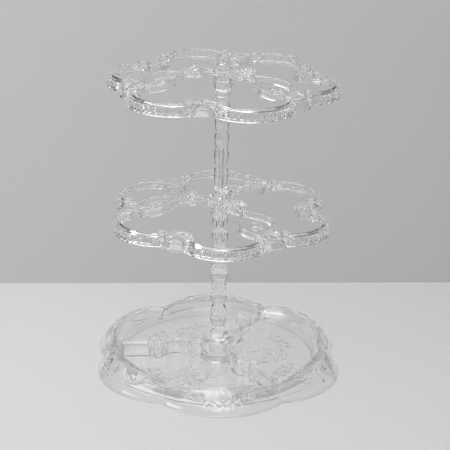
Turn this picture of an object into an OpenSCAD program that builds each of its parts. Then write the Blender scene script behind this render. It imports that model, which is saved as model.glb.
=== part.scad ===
// Three-tier earring stand in clear moulded plastic: lobed tray, two turned posts, two openwork tiers.
// Millimetres, +Z up. The origin lies on the table, on the axis of the posts. Angles run from +X.

/* [Tray] */
// radius of the flat round floor
floor_r = 90; // [75:1:105]
// how far the rim stands outside the floor at the middle of each lobe
rim_flare = 12; // [8:0.5:18]
// how far the rim stands outside the floor at the six cusps
cusp_flare = 10.5; // [8:0.5:16]
// how far the foot stands outside the rim at the middle of each lobe
foot_flare = 20; // [12:0.5:28]
// distance from the axis to the centre of each foot lobe
foot_lobe_offset = 52; // [40:1:60]
// rim height at the middle of each lobe
rim_high = 22; // [16:0.5:30]
// rim height at the six cusps
rim_low = 13.4; // [10:0.2:18]
// wall thickness of the rim and the skirt
tray_wall = 2.4; // [1.6:0.1:3.5]
// top of the floor above the table
floor_top = 2.8; // [2:0.2:5]
// thickness of the floor
floor_t = 2; // [1.4:0.1:3]
// radius of the centre boss
boss_r = 15.3; // [12:0.1:18]
// top of the centre boss above the table
boss_top = 24.5; // [18:0.5:32]

/* [Tray carving] */
// share of the slope that the plain band above the foot takes at the middle of each lobe
foot_band = 0.42; // [0.34:0.01:0.5]
// how far the carved part of the skirt stands proud of the plain band
carve_step = 0.6; // [0.3:0.1:1]
// how far the rosettes, volutes and leaves stand proud of the skirt
carve_h = 0.9; // [0.6:0.1:1.4]
// radius of the rosette at the middle of each lobe
rosette_r = 7.6; // [6:0.2:9]
// radius of the volutes beside each rosette
volute_r = 4.4; // [3.4:0.1:5.5]
// angle round the axis from a rosette to its volutes
volute_turn = 9.5; // [8:0.5:12]
// radius of the beads on the rim at the six cusps
rim_bead_r = 1.8; // [1.4:0.1:2.4]

/* [Tray dividers] */
// top of the divider walls above the table
divider_top = 17; // [10:0.5:22]
// thickness of the divider walls
divider_t = 2.4; // [1.6:0.1:3.5]
// distance from the axis to the start of the bowed part
bow_start = 26; // [22:0.5:30]
// straight length across the bowed part
bow_length = 26; // [20:0.5:32]
// how far the bow stands off the spoke line
bow_rise = 6.5; // [3:0.5:9]
// top of the scroll cluster above the table
cluster_top = 22; // [17:0.5:26]

/* [Posts] */
// heights of the turned beads of the lower post, from the bottom
lower_beads = [25.4, 20.9, 19.7, 19.4, 17.2, 10.6];
// heights of the turned beads of the upper post, from the bottom
upper_beads = [20.2, 16.7, 14.8, 15.5, 13.7];
// height of the spreading foot of the lower post
lower_foot_h = 9.5; // [6:0.5:14]
// height of the spreading foot of the upper post
upper_foot_h = 12.8; // [8:0.2:16]
// radius of the spreading feet
post_foot_r = 10.6; // [9:0.1:12]
// bead radius of the lower post
lower_bead_r = 8.2; // [7.2:0.1:10]
// neck radius of the lower post
lower_neck_r = 6.2; // [4.6:0.1:7]
// bead radius of the upper post
upper_bead_r = 6.8; // [6:0.1:8]
// neck radius of the upper post
upper_neck_r = 5.5; // [4.4:0.1:6]
// radius of the shoulder that carries a tier
shoulder_r = 7.9; // [7.4:0.1:9]
// height of the collar below a shoulder on the lower post
lower_collar_h = 2.5; // [2:0.1:5]
// height of the stepped collars below a shoulder on the upper post
upper_collar_h = 15.1; // [10:0.1:18]
// radius of the spigots at the post ends
spigot_r = 6.4; // [5:0.1:7]
// depth of the spigot in the tray boss
foot_spigot_h = 18; // [10:0.5:22]
// radius of the long pin under the upper post
pin_r = 2.6; // [2:0.1:3.5]
// length of the long pin under the upper post
pin_h = 42; // [20:1:50]
// radius of the moulded core hole in the upper post
core_r = 1.3; // [0.8:0.1:1.6]
// radial clearance of every spigot and pin
fit_gap = 0.15; // [0.05:0.05:0.4]
// clearance past the end of every spigot and pin
end_gap = 0.6; // [0.3:0.1:2]

/* [Tier rings] */
// distance from the axis to the centre of each big lobe
lobe_offset = 66.8; // [55:0.2:75]
// outer radius of each big lobe at its lower edge
lobe_r = 41.1; // [34:0.1:46]
// half of the angle that a big lobe sweeps
lobe_half = 62; // [50:1:68]
// height of the openwork band
band_h = 11; // [8:0.5:15]
// height of the band above the tier datum
band_top = 1; // [0:0.2:3]
// how far the band leans out towards its lower edge
band_lean = 2.4; // [0:0.1:4]
// wall thickness of the band
band_t = 2.2; // [1.4:0.1:3]
// height of the upper rail of the band
top_rail_h = 2.8; // [1.6:0.1:4]
// radial width of the upper rail
top_rail_w = 3.2; // [2.2:0.1:4.5]
// height of the lower rail
low_rail_h = 2.4; // [1.4:0.1:3.5]
// angle of the closed end at each side of a lobe
end_angle = 12; // [8:0.5:16]
// windows in each big lobe
window_count = 6; // [4:1:8]
// angle that each upright bar covers
bar_angle = 2.8; // [1.5:0.1:5]

/* [Tier small lobes] */
// how far a small lobe stands out past the ends of the big lobes
small_bulge = 5.5; // [3:0.1:9]
// how far the centre of the fan lies inward of those ends
fan_back = 7.5; // [4:0.5:12]
// radius of the scrolls that join big and small lobes
scroll_r = 5; // [4:0.1:6.5]
// how far the scrolls lie inward of the ends of the big lobes
scroll_back = 5.5; // [3:0.1:8]
// how far the scrolls lie to the side of those ends
scroll_aside = 1.9; // [0:0.1:4]

/* [Tier spokes] */
// height of the upright ribs
rib_h = 7; // [4:0.5:10]
// thickness of the upright ribs
rib_t = 2.8; // [1.8:0.1:4]
// height of the rib plane over the tier datum at the axis
rib_rise = 18.1; // [12:0.1:24]
// fall of the spokes towards the ring, in degrees
rib_fall = 12.7; // [0:0.1:18]
// radius of each loop
loop_r = 17; // [12:0.5:20]
// distance from the axis to the centre of each loop, along the slope
loop_offset = 62.5; // [54:0.5:66]
// length of the rib tails past the crossing
tail_len = 14; // [8:0.5:18]
// radius of the curl at the end of each tail
curl_r = 4.4; // [3:0.1:6]
// outer radius of the hub sleeve
sleeve_r = 9.6; // [8.6:0.1:12]
// length of the hub sleeve below the tier datum
sleeve_below = 6; // [4:0.5:10]
// length of the hub sleeve above the tier datum
sleeve_above = 10; // [6:0.5:14]
// thickness of the closed cap on the top tier
cap_t = 2.6; // [1.5:0.1:4]
// turn of the top tier against the tray and the middle tier
top_turn = 17; // [0:1:60]

/* [Tier leaves] */
// length of the leaves on the tiers
leaf_len = 10; // [7:0.5:13]
// width of the leaves on the tiers
leaf_w = 5; // [3.5:0.5:7]
// thickness of the leaves on the tiers
leaf_t = 1.8; // [1.2:0.1:2.4]
// slope of the leaves on the tiers, rising to their tips, in degrees
leaf_rise = 14; // [6:1:24]
// radius of the rosettes at the ends of each big lobe
end_rosette_r = 5; // [4:0.1:6]

/* [Hidden] */
$fa = 10;
$fs = 1.6;

// Places and heights that follow from the sizes above
function total(v, n, i = 0) = i >= n ? 0 : v[i] + total(v, n, i + 1);
rim_reach = floor_r + rim_flare;
rim_cusp_reach = floor_r + cusp_flare;
foot_reach = rim_reach + foot_flare;
sleeve_len = sleeve_below + sleeve_above;
lower_shoulder = boss_top + lower_foot_h + total(lower_beads, len(lower_beads)) + lower_collar_h;
middle_datum = lower_shoulder + sleeve_below;
upper_bottom = lower_shoulder + sleeve_len;
upper_shoulder = upper_bottom + upper_foot_h + total(upper_beads, len(upper_beads)) + upper_collar_h;
top_datum = upper_shoulder + sleeve_below;
window_half = lobe_half - end_angle;
loop_end = (loop_offset + loop_r) * cos(rib_fall);

// The end of a big lobe, seen from the small lobe beside it: distance out and to the side
join_r = lobe_r - band_lean / 2 - band_t / 2 + 0.8;
join_out = (lobe_offset + join_r * cos(lobe_half)) * cos(30) + join_r * sin(lobe_half) * sin(30);
join_side = join_r * sin(lobe_half) * cos(30) - (lobe_offset + join_r * cos(lobe_half)) * sin(30);

base_tray();
lower_post();
middle_tier();
upper_post();
top_tier();

// Plan of the tray: six arcs that meet in cusps at 0, 60, 120 and so on
function off_lobe(a) = (a % 60) - 30;
function lobe_reach(c, r, p) = c * cos(p) + sqrt(r * r - pow(c * sin(p), 2));
function foot_at(a) = lobe_reach(foot_lobe_offset, foot_reach - foot_lobe_offset, off_lobe(a));
function rim_at(a) = rim_cusp_reach + (rim_reach - rim_cusp_reach) * cos(3 * off_lobe(a));
function rim_z_at(a) = rim_low + (rim_high - rim_low) * cos(3 * off_lobe(a));
function mix(a, b, t) = a + (b - a) * t;
function band_at(a) = foot_band + 0.1 * (1 - cos(3 * off_lobe(a)));

// Section of the folded wall at one angle, from the foot over the rim to the floor and back below
function tray_section(a) =
    let (f = foot_at(a), r = rim_at(a), h = rim_z_at(a), w = tray_wall, fl = floor_top)
    let (ledge_r = mix(floor_r, r - w, 0.45), ledge_z = mix(fl, h, 0.3))
    let (b = band_at(a), proud = carve_step * 0.7)
    [
        [f, 0],
        [f, 1.5],
        [mix(f, r, 0.12), mix(1.5, h, 0.08)],
        [mix(f, r, b - 0.03), mix(1.5, h, b - 0.08)],
        [mix(f, r, b + 0.01) + proud, mix(1.5, h, b - 0.03) + proud],
        [mix(f, r, 0.9) + proud * 0.7, mix(1.5, h, 0.88) + proud * 0.7],
        [r - 0.3, h],
        [r - w, h],
        [ledge_r, ledge_z],
        [floor_r + 0.8, fl - 0.1],
        [floor_r - 3, fl - 0.4],
        [floor_r - 3, fl - floor_t + 0.3],
        [floor_r + 2, fl - floor_t + 0.1],
        [ledge_r + w * 0.8, ledge_z - w * 0.6],
        [r - w * 0.45, h - w * 1.15],
        [mix(f, r, 0.45) - w * 1.05, mix(1.5, h, 0.4) - w * 0.35],
        [f - w, 1.4],
        [f - w, 0]
    ];

module tray_wall_loft(steps = 120) {
    rows = [for (i = [0 : steps - 1]) tray_section(360 * i / steps)];
    n = len(rows[0]);
    points = [for (i = [0 : steps - 1], p = rows[i])
        [p[0] * cos(360 * i / steps), p[0] * sin(360 * i / steps), p[1]]];
    faces = [for (i = [0 : steps - 1], j = [0 : n - 1], half = [0, 1])
        let (i2 = (i + 1) % steps, j2 = (j + 1) % n)
        half == 0 ? [i * n + j, i * n + j2, i2 * n + j] : [i2 * n + j, i * n + j2, i2 * n + j2]];
    polyhedron(points = points, faces = faces, convexity = 6);
}

// One divider along +X: curl at the boss, bowed wall, scroll cluster, straight wall to the cusp
module divider() {
    bow_r = (pow(bow_length / 2, 2) + pow(bow_rise, 2)) / (2 * bow_rise);
    bow_half = asin(bow_length / 2 / bow_r);
    bow_end = bow_start + bow_length;
    base = floor_top - 0.6;
    h = divider_top - base;
    translate([boss_r - 1, -divider_t / 2, base]) cube([bow_start - boss_r + 1, divider_t, h]);
    translate([bow_start - 1.5, 0, base]) cylinder(r = 3.6, h = h + 0.8);
    translate([bow_start + bow_length / 2, bow_r - bow_rise, base])
        rotate([0, 0, 270 - bow_half])
            rotate_extrude(angle = 2 * bow_half, $fn = 60)
                translate([bow_r - divider_t / 2, 0]) square([divider_t, h]);
    translate([bow_end + 0.5, -1, base]) scroll(3.2, cluster_top - base - 1.5, 1.2);
    translate([bow_end + 5, 3, base]) scroll(4, cluster_top - base, 1.2);
    translate([bow_end + 10.5, -0.5, base]) scroll(3.4, cluster_top - base - 2, 1.2);
    rotate([90, 0, 0]) translate([0, 0, -divider_t / 2]) linear_extrude(height = divider_t) polygon([
        [bow_end, base],
        [floor_r + 1, base],
        [rim_cusp_reach - tray_wall, rim_low - 1.4],
        [rim_cusp_reach - tray_wall, rim_low],
        [rim_cusp_reach - tray_wall - 2, divider_top],
        [bow_end, divider_top]]);
    translate([floor_r + 3, 0, rim_low - 4]) cylinder(r = 2.6, h = divider_top - rim_low + 5.2);
}

// Puts what it holds on the skirt at angle a round the axis and share t of the way up, facing out
module on_skirt(a, t) {
    run = foot_at(a) - rim_at(a);
    rise = rim_z_at(a) - 1.5;
    lean = asin(foot_lobe_offset * sin(off_lobe(a)) / (foot_reach - foot_lobe_offset));
    rotate([0, 0, a]) translate([foot_at(a) - run * t, 0, 1.5 + rise * (t - 0.035)])
        rotate([0, 0, lean * (1 - t)]) rotate([0, atan2(rise, run), 0]) children();
}

// Six petals round a heart, standing on the plane of its origin
module rosette(r, h) {
    linear_extrude(height = h) for (k = [0 : 5]) rotate(60 * k + 30)
        translate([r * 0.56, 0]) circle(r = r * 0.44, $fn = 24);
    cylinder(r = r * 0.3, h = h + 0.7, $fn = 16);
}

// A round scroll: a raised edge round a raised eye
module scroll(r, h, groove) {
    rotate_extrude($fn = 24) polygon([
        [0, 0],
        [r, 0],
        [r, h],
        [r * 0.72, h],
        [r * 0.66, h - groove],
        [r * 0.38, h - groove],
        [r * 0.3, h],
        [0, h]]);
}

// A flat almond leaf from the origin along +X
module leaf(length, width, thick) {
    r = (pow(length, 2) + pow(width, 2)) / (4 * width);
    linear_extrude(height = thick) intersection() {
        translate([length / 2, r - width / 2]) circle(r = r, $fn = 48);
        translate([length / 2, width / 2 - r]) circle(r = r, $fn = 48);
    }
}

// Carving of one skirt lobe whose middle is at angle a: rosette, two volutes and two leaves
module skirt_carving(a) {
    sunk = 1;
    h = sunk + carve_step + carve_h;
    on_skirt(a, 0.69) translate([0, 0, -sunk]) rosette(rosette_r, h);
    for (s = [-1, 1]) {
        on_skirt(a + s * volute_turn, 0.66) translate([0, 0, -sunk]) scroll(volute_r, h - 0.1, carve_h);
        on_skirt(a + s * (volute_turn + 2.6), 0.72) translate([0, 0, -sunk]) rotate([0, 0, s * 97])
            leaf(volute_r * 3, volute_r * 0.9, h - 0.3);
    }
}

module base_tray() {
    color([0.86, 0.89, 0.91])
    difference() {
        union() {
            tray_wall_loft();
            translate([0, 0, floor_top - floor_t]) cylinder(r = floor_r, h = floor_t, $fn = 120);
            translate([0, 0, floor_top - floor_t])
                cylinder(r = boss_r, h = boss_top - 1.2 - floor_top + floor_t, $fn = 48);
            translate([0, 0, boss_top - 2]) cylinder(r = boss_r - 1.4, h = 2, $fn = 48);
            for (a = [60, 180, 300]) rotate([0, 0, a]) divider();
            for (a = [30 : 60 : 330]) skirt_carving(a);
            for (a = [0 : 60 : 300]) rotate([0, 0, a])
                translate([rim_cusp_reach - tray_wall * 0.4, 0, rim_low - 1.5])
                    cylinder(r = rim_bead_r, h = 2.7);
        }
        translate([0, 0, boss_top - foot_spigot_h - end_gap])
            cylinder(r = spigot_r + fit_gap, h = foot_spigot_h + end_gap + 1, $fn = 48);
    }
}

// Turned outline of one bead: radius at share t of its height, widest at share b
function bead_share(t, b) = t < b ? sin(90 * t / b) : 1 - pow((t - b) / (1 - b), 1.6);
function bead_points(z, h, neck, wide, b, n = 6) =
    [for (k = [0 : n - 1]) [neck + (wide - neck) * bead_share(k / n, b), z + h * k / n]];
function bead_z(v, i) = total(v, i);

module lower_post() {
    z0 = boss_top + lower_foot_h;
    ztop = z0 + total(lower_beads, len(lower_beads));
    n = len(lower_beads);
    outline = concat(
        [[post_foot_r, boss_top], [post_foot_r, boss_top + 1.4]],
        [for (k = [1 : 4]) [
            mix(lower_neck_r - 1, post_foot_r - 0.6, pow(1 - k / 5, 2)),
            boss_top + 1.4 + (lower_foot_h - 1.4) * k / 5]],
        [for (i = [0 : n - 1], p = bead_points(z0 + bead_z(lower_beads, i), lower_beads[i],
            i == 0 ? lower_neck_r - 1.2 : i > 3 ? lower_neck_r - 0.6 : lower_neck_r,
            i > 3 ? lower_bead_r - 0.3 - (i - 4) * 0.5 : lower_bead_r,
            i == 0 ? 0.42 : i > 3 ? 0.5 : 0.3)) p],
        [[lower_neck_r, ztop], [shoulder_r, ztop + 0.5], [shoulder_r, lower_shoulder]]);
    color([0.84, 0.88, 0.92])
    difference() {
        union() {
            rotate_extrude($fn = 32) polygon(concat([[0, boss_top]], outline, [[0, lower_shoulder]]));
            translate([0, 0, boss_top - foot_spigot_h])
                cylinder(r = spigot_r, h = foot_spigot_h + 1, $fn = 32);
            translate([0, 0, lower_shoulder - 1])
                cylinder(r = spigot_r, h = sleeve_len + 1 - end_gap, $fn = 32);
        }
        translate([0, 0, upper_bottom - pin_h - end_gap])
            cylinder(r = pin_r + fit_gap, h = pin_h + end_gap + 1, $fn = 24);
    }
}

module upper_post() {
    z0 = upper_bottom + upper_foot_h;
    n = len(upper_beads);
    ztop = z0 + total(upper_beads, n);
    c = upper_collar_h;
    outline = concat(
        [
            [post_foot_r, upper_bottom],
            [post_foot_r, upper_bottom + 1.6],
            [post_foot_r - 1.6, upper_bottom + 2.4]
        ],
        [for (k = [1 : 4]) [
            mix(upper_neck_r, post_foot_r - 1.8, pow(1 - k / 5, 2)),
            upper_bottom + 2.4 + (upper_foot_h - 2.4) * k / 5]],
        [for (i = [0 : n - 1], p = bead_points(z0 + bead_z(upper_beads, i), upper_beads[i],
            upper_neck_r, upper_bead_r, i == 0 ? 0.5 : 0.66)) p],
        [
            [upper_neck_r, ztop],
            [upper_neck_r + 0.9, ztop + c * 0.12],
            [upper_neck_r + 0.9, ztop + c * 0.24],
            [shoulder_r - 0.4, ztop + c * 0.3],
            [shoulder_r - 0.4, ztop + c * 0.48],
            [shoulder_r - 1.4, ztop + c * 0.54],
            [shoulder_r - 1.4, ztop + c * 0.62],
            [shoulder_r, ztop + c * 0.68],
            [shoulder_r, upper_shoulder]
        ]);
    color([0.84, 0.88, 0.92])
    difference() {
        union() {
            rotate_extrude($fn = 32) polygon(concat([[0, upper_bottom]], outline, [[0, upper_shoulder]]));
            translate([0, 0, upper_bottom - pin_h]) cylinder(r = pin_r, h = pin_h + 1, $fn = 24);
            translate([0, 0, upper_shoulder - 1])
                cylinder(r = spigot_r, h = sleeve_len - cap_t + 1 - end_gap, $fn = 32);
        }
        translate([0, 0, upper_bottom - pin_h - 1])
            cylinder(r = core_r, h = pin_h + upper_foot_h + total(upper_beads, 2), $fn = 16);
    }
}

// One big lobe along +X, drawn about the tier datum
module big_lobe() {
    band_low = band_top - band_h;
    wall_r = function (z) lobe_r - band_lean * (z - band_low) / band_h;
    pitch = 2 * window_half / window_count;
    translate([lobe_offset, 0, 0]) {
        rotate([0, 0, -lobe_half]) rotate_extrude(angle = 2 * lobe_half, $fn = 40) polygon([
            [wall_r(band_top) - top_rail_w, band_top],
            [wall_r(band_top), band_top],
            [wall_r(band_top - top_rail_h), band_top - top_rail_h],
            [wall_r(band_top - top_rail_h) - band_t, band_top - top_rail_h]]);
        rotate([0, 0, -lobe_half]) rotate_extrude(angle = 2 * lobe_half, $fn = 40) polygon([
            [wall_r(band_low + low_rail_h) - band_t, band_low + low_rail_h],
            [wall_r(band_low + low_rail_h), band_low + low_rail_h],
            [lobe_r, band_low],
            [lobe_r - band_t, band_low]]);
        for (k = [1 : window_count - 1]) rotate([0, 0, -window_half + k * pitch - bar_angle / 2])
            band_piece(bar_angle, 0.2);
        for (s = [-lobe_half, window_half]) rotate([0, 0, s]) band_piece(lobe_half - window_half, 0);
        for (s = [-1, 1]) rotate([0, 0, s * (lobe_half + window_half) / 2])
            translate([wall_r(-4.2) - 1.2, 0, -4.2]) rotate([0, 90, 0]) rosette(end_rosette_r, 2.2);
    }
}

module band_piece(angle, inset) {
    band_low = band_top - band_h;
    top_r = lobe_r - band_lean;
    rotate_extrude(angle = angle, $fn = 40) polygon([
        [top_r - band_t + inset, band_top - 0.4],
        [top_r - inset, band_top - 0.4],
        [lobe_r - inset, band_low + 0.4],
        [lobe_r - band_t + inset, band_low + 0.4]]);
}

// One small lobe along +X: a sloping shell plate between two scrolls
module small_lobe(fan) {
    band_low = band_top - band_h;
    edge_low = band_low - 0.4;
    side = abs(join_side);
    small_r = (pow(small_bulge, 2) + pow(side, 2)) / (2 * small_bulge);
    centre = join_out + small_bulge - small_r;
    small_half = atan2(side, join_out - centre) + 3;
    scroll_out = join_out - scroll_back;
    scroll_side = side + scroll_aside;
    fan_r = norm([scroll_back - fan_back, scroll_side]) - 0.4;
    translate([centre, 0, 0]) {
        rotate([0, 0, -small_half]) rotate_extrude(angle = 2 * small_half, $fn = 36) polygon([
            [2, 1.5],
            [small_r - 1, edge_low + 3],
            [small_r, edge_low + 2],
            [small_r, edge_low],
            [small_r - 2.6, edge_low],
            [2, -1.2]]);
        translate([0, 0, -1.2]) cylinder(r = 4, h = 2.7);
    }
    for (s = [-1, 1]) translate([scroll_out, s * scroll_side, band_low + 2.5])
        scroll(scroll_r, band_h - 1, 1);
    if (fan) translate([join_out - fan_back, 0, 0]) {
        rotate([0, 0, 86]) rotate_extrude(angle = 188, $fn = 30)
            translate([fan_r - 2.2, band_low + 2]) square([2.2, band_h - 2]);
        translate([0, 0, -2.4]) cylinder(r = fan_r - 1, h = 2.2, $fn = 30);
    }
    else translate([(centre + loop_end) / 2 + 2, 0, -1.8]) {
        cylinder(r = abs(centre - loop_end) / 2 + 8, h = 2.4, $fn = 20);
        for (a = [-72, -26, 26, 72]) rotate([0, 0, a]) translate([2.4, 0, 1.3])
            rotate([0, -leaf_rise / 2, 0]) leaf(leaf_len, leaf_w, leaf_t);
    }
}

// One spoke along +X: web at the hub, crossing tails with curls, round loop with pearls
module spoke() {
    cross = loop_offset - loop_r * sqrt(2);
    reach = loop_r + tail_len;
    turn = loop_r / sqrt(2);
    rotate([90, 0, 0]) translate([0, 0, -rib_t / 2]) linear_extrude(height = rib_t) polygon([
        [sleeve_r - 1, 1.5],
        [sleeve_r + 5, 1],
        [mix(sleeve_r + 5, cross * cos(rib_fall), 0.5), 4],
        [cross * cos(rib_fall) + 2, 3.2],
        [cross * cos(rib_fall) + 2, 9],
        [sleeve_r - 1, sleeve_above - 0.4]]);
    translate([0, 0, rib_rise]) rotate([0, rib_fall, 0]) translate([0, 0, -rib_h]) {
        translate([loop_offset, 0, 0]) rotate([0, 0, -136]) rotate_extrude(angle = 272, $fn = 40)
            translate([loop_r - rib_t / 2, 0]) square([rib_t, rib_h]);
        for (s = [-1, 1]) {
            translate([loop_offset - turn, s * turn, 0.3]) rotate([0, 0, 180 + s * 45])
                translate([-0.5, 0.3 - rib_t / 2, 0]) cube([reach + 0.5, rib_t - 0.6, rib_h - 0.6]);
            translate([cross - tail_len * cos(45), -s * tail_len * sin(45), 0])
                translate([-curl_r * 0.5, -s * curl_r * 0.5, -0.2]) scroll(curl_r, rib_h + 0.6, 1.2);
        }
        translate([loop_offset - 2, -0.9, 1]) cube([loop_r + 2, 1.8, 3.4]);
        translate([loop_offset - 1.5, 0, 3]) pearl(2.4);
        for (s = [-1, 1]) translate([loop_offset + 4, s * 2.4, 3]) pearl(2.2);
    }
}

module pearl(r) {
    rotate_extrude($fn = 16) polygon([for (k = [0 : 6]) [r * sin(30 * k), -r * cos(30 * k)]]);
}

// A whole tier about its datum: lobes, small lobes, spokes and the hub sleeve
module tier(capped) {
    difference() {
        union() {
            for (a = [30 : 60 : 330]) rotate([0, 0, a]) big_lobe();
            for (a = [0, 120, 240]) rotate([0, 0, a]) small_lobe(true);
            for (a = [60, 180, 300]) rotate([0, 0, a]) small_lobe(false);
            for (a = [60, 180, 300]) rotate([0, 0, a]) spoke();
            translate([0, 0, -sleeve_below]) cylinder(r = sleeve_r, h = sleeve_len, $fn = 40);
            for (a = [0, 120, 240], side = [-32, 0, 32]) rotate([0, 0, a + side])
                translate([sleeve_r - 1.4, 0, 2.2]) rotate([0, -leaf_rise, 0]) leaf(leaf_len, leaf_w, leaf_t);
            if (capped) translate([0, 0, sleeve_above - 1]) {
                cylinder(r = sleeve_r - 2.6, h = 2.4, $fn = 32);
                cylinder(r = sleeve_r - 5.2, h = 3.8, $fn = 24);
            }
        }
        translate([0, 0, -sleeve_below - 1])
            cylinder(r = spigot_r + fit_gap, h = 1 + sleeve_len + (capped ? -cap_t : 1), $fn = 32);
    }
}

module middle_tier() {
    color([0.80, 0.86, 0.90]) translate([0, 0, middle_datum]) tier(false);
}

module top_tier() {
    color([0.80, 0.86, 0.90]) translate([0, 0, top_datum]) rotate([0, 0, top_turn]) tier(true);
}
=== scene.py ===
# Clear moulded earring stand: lobed tray, two turned posts and two openwork tiers.
import math
import bpy
import numpy as np
from mathutils import Matrix, Vector


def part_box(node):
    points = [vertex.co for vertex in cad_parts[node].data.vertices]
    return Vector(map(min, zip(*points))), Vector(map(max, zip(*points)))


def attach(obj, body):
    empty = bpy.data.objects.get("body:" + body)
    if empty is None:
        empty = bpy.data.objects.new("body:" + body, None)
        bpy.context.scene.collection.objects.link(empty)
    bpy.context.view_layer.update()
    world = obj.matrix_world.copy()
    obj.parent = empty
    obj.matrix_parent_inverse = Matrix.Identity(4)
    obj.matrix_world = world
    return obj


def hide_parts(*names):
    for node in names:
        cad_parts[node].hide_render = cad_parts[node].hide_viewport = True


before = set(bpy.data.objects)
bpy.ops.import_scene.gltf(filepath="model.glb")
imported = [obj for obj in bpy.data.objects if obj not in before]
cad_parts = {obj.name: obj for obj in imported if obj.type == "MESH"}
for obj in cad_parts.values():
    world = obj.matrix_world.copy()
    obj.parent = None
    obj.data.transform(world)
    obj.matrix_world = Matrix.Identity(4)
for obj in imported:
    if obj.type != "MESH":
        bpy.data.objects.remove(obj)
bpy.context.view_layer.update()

MM = 0.001

# Heights that the frame gives, in millimetres
BOSS_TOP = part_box("base_tray")[1].z / MM
POST_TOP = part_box("lower_post")[1].z / MM
PIN_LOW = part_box("upper_post")[0].z / MM
SPIGOT_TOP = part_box("upper_post")[1].z / MM
TIER_DROP = 10.4  # how far a tier reaches below its datum
MIDDLE_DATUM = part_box("middle_tier")[0].z / MM + TIER_DROP
TOP_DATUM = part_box("top_tier")[0].z / MM + TIER_DROP

# Tray sizes
FLOOR_R, FLOOR_TOP, FLOOR_T = 92.5, 1.9, 1.5
RIM_R, RIM_CUSP_R = 102.0, 100.5
RIM_HIGH, RIM_LOW = 22.0, 13.4
FOOT_R, FOOT_OFFSET = 122.0, 52.0
WALL, EDGE_Z, SKIRT_R = 2.4, 1.2, 107.0
BOSS_R = 16.2
SOCKET_R, SOCKET_LOW = 6.55, BOSS_TOP - 18.6
DIVIDER_TOP, CLUSTER_TOP, DIVIDER_T = 17.6, 22.4, 2.4
DIVIDER_ANGLES = (61, 181, 301)
BOW_START, BOW_LENGTH, BOW_RISE = 26.0, 26.0, 6.5

# Post sizes
LOWER_BEADS = (25.4, 20.9, 19.7, 19.4, 17.2, 10.6)
UPPER_BEADS = (20.2, 16.7, 14.8, 15.5, 13.7)
LOWER_FOOT_H, UPPER_FOOT_H, COLLARS_H = 9.5, 12.8, 15.1
LOWER_BEAD_R, LOWER_NECK_R = 8.2, 6.2
UPPER_BEAD_R, UPPER_NECK_R = 6.8, 5.5
POST_FOOT_R, SHOULDER_R, SPIGOT_R = 10.6, 7.9, 6.4
SPIGOT_DEPTH, PIN_R, PIN_BORE_R, CORE_R = 18.0, 2.6, 2.75, 1.3
SEAT_GAP = 0.03

# Tier sizes, about the datum of a tier
LOBE_OFFSET, LOBE_R, LOBE_HALF = 66.8, 41.1, 62.0
BAND_TOP, BAND_H, BAND_LEAN, BAND_T = 1.0, 11.0, 2.4, 2.2
WINDOWS, WINDOW_HALF = 6, 50.0
JOIN_OUT, JOIN_SIDE = 91.4, 12.45
SMALL_BULGE, FAN_BACK = 5.5, 7.5
DRUM_R, DRUM_BACK, DRUM_ASIDE = 4.6, 5.5, 1.9
RIB_H, RIB_T, RIB_RISE, RIB_FALL = 7.0, 2.8, 18.1, 12.7
LOOP_R, LOOP_OFFSET, TAIL, CURL_R = 17.0, 62.5, 14.0, 4.2
SLEEVE_R, SLEEVE_LOW, SLEEVE_HIGH, CAP_T = 9.6, -6.0, 10.0, 2.6
TOP_TURN = 17.0

BAND_LOW = BAND_TOP - BAND_H
LEAN = BAND_LEAN / BAND_H
LOWER_SHOULDER = MIDDLE_DATUM + SLEEVE_LOW
UPPER_BOTTOM = MIDDLE_DATUM + SLEEVE_HIGH
UPPER_SHOULDER = TOP_DATUM + SLEEVE_LOW

# How finely the tray is modelled, and how many triangles its body and a tier keep
COLUMNS, SKIRT_ROWS, FLOOR_ROWS = 960, 48, 128
TRAY_TRIANGLES, TIER_TRIANGLES = 158000, 190000


# Closed shells, as (points, quads, triangles) in millimetres

def loft(rings, closed=False):
    """A closed skin over rings of points: (rings, points, 3)."""
    rings = np.asarray(rings, float)
    m, n = rings.shape[:2]
    points = rings.reshape(-1, 3)
    j = np.arange(n)
    k = (j + 1) % n
    rows = np.arange(m if closed else m - 1)[:, None]
    after = (rows + 1) % m
    quads = np.stack([rows * n + j, rows * n + k, after * n + k, after * n + j], -1).reshape(-1, 4)
    tris = np.zeros((0, 3), int)
    if not closed:
        a, last = m * n, (m - 1) * n
        points = np.vstack([points, rings[0].mean(0), rings[-1].mean(0)])
        tris = np.vstack([
            np.stack([np.full(n, a), k, j], -1),
            np.stack([np.full(n, a + 1), last + j, last + k], -1)])
    return points, quads, tris


def revolve(profile, sides=24, centre=(0, 0, 0), closed=False):
    """Turns (radius, height) points about Z, with flat caps on the ends or, where closed, as a ring."""
    profile = np.asarray(profile, float)
    a = np.arange(sides) * 2 * math.pi / sides
    rings = np.stack([
        np.outer(profile[:, 0], np.cos(a)),
        np.outer(profile[:, 0], np.sin(a)),
        np.repeat(profile[:, 1:], sides, 1)], -1)
    return loft(rings + np.asarray(centre, float), closed)


def framed(path, up):
    """The points of a path, with the ways to its right and upward at each."""
    path = np.asarray(path, float)
    tangent = np.gradient(path, axis=0)
    tangent /= np.linalg.norm(tangent, axis=1)[:, None]
    side = np.cross(tangent, np.broadcast_to(np.asarray(up, float), path.shape))
    side /= np.linalg.norm(side, axis=1)[:, None]
    return path, side, np.cross(side, tangent)


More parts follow.
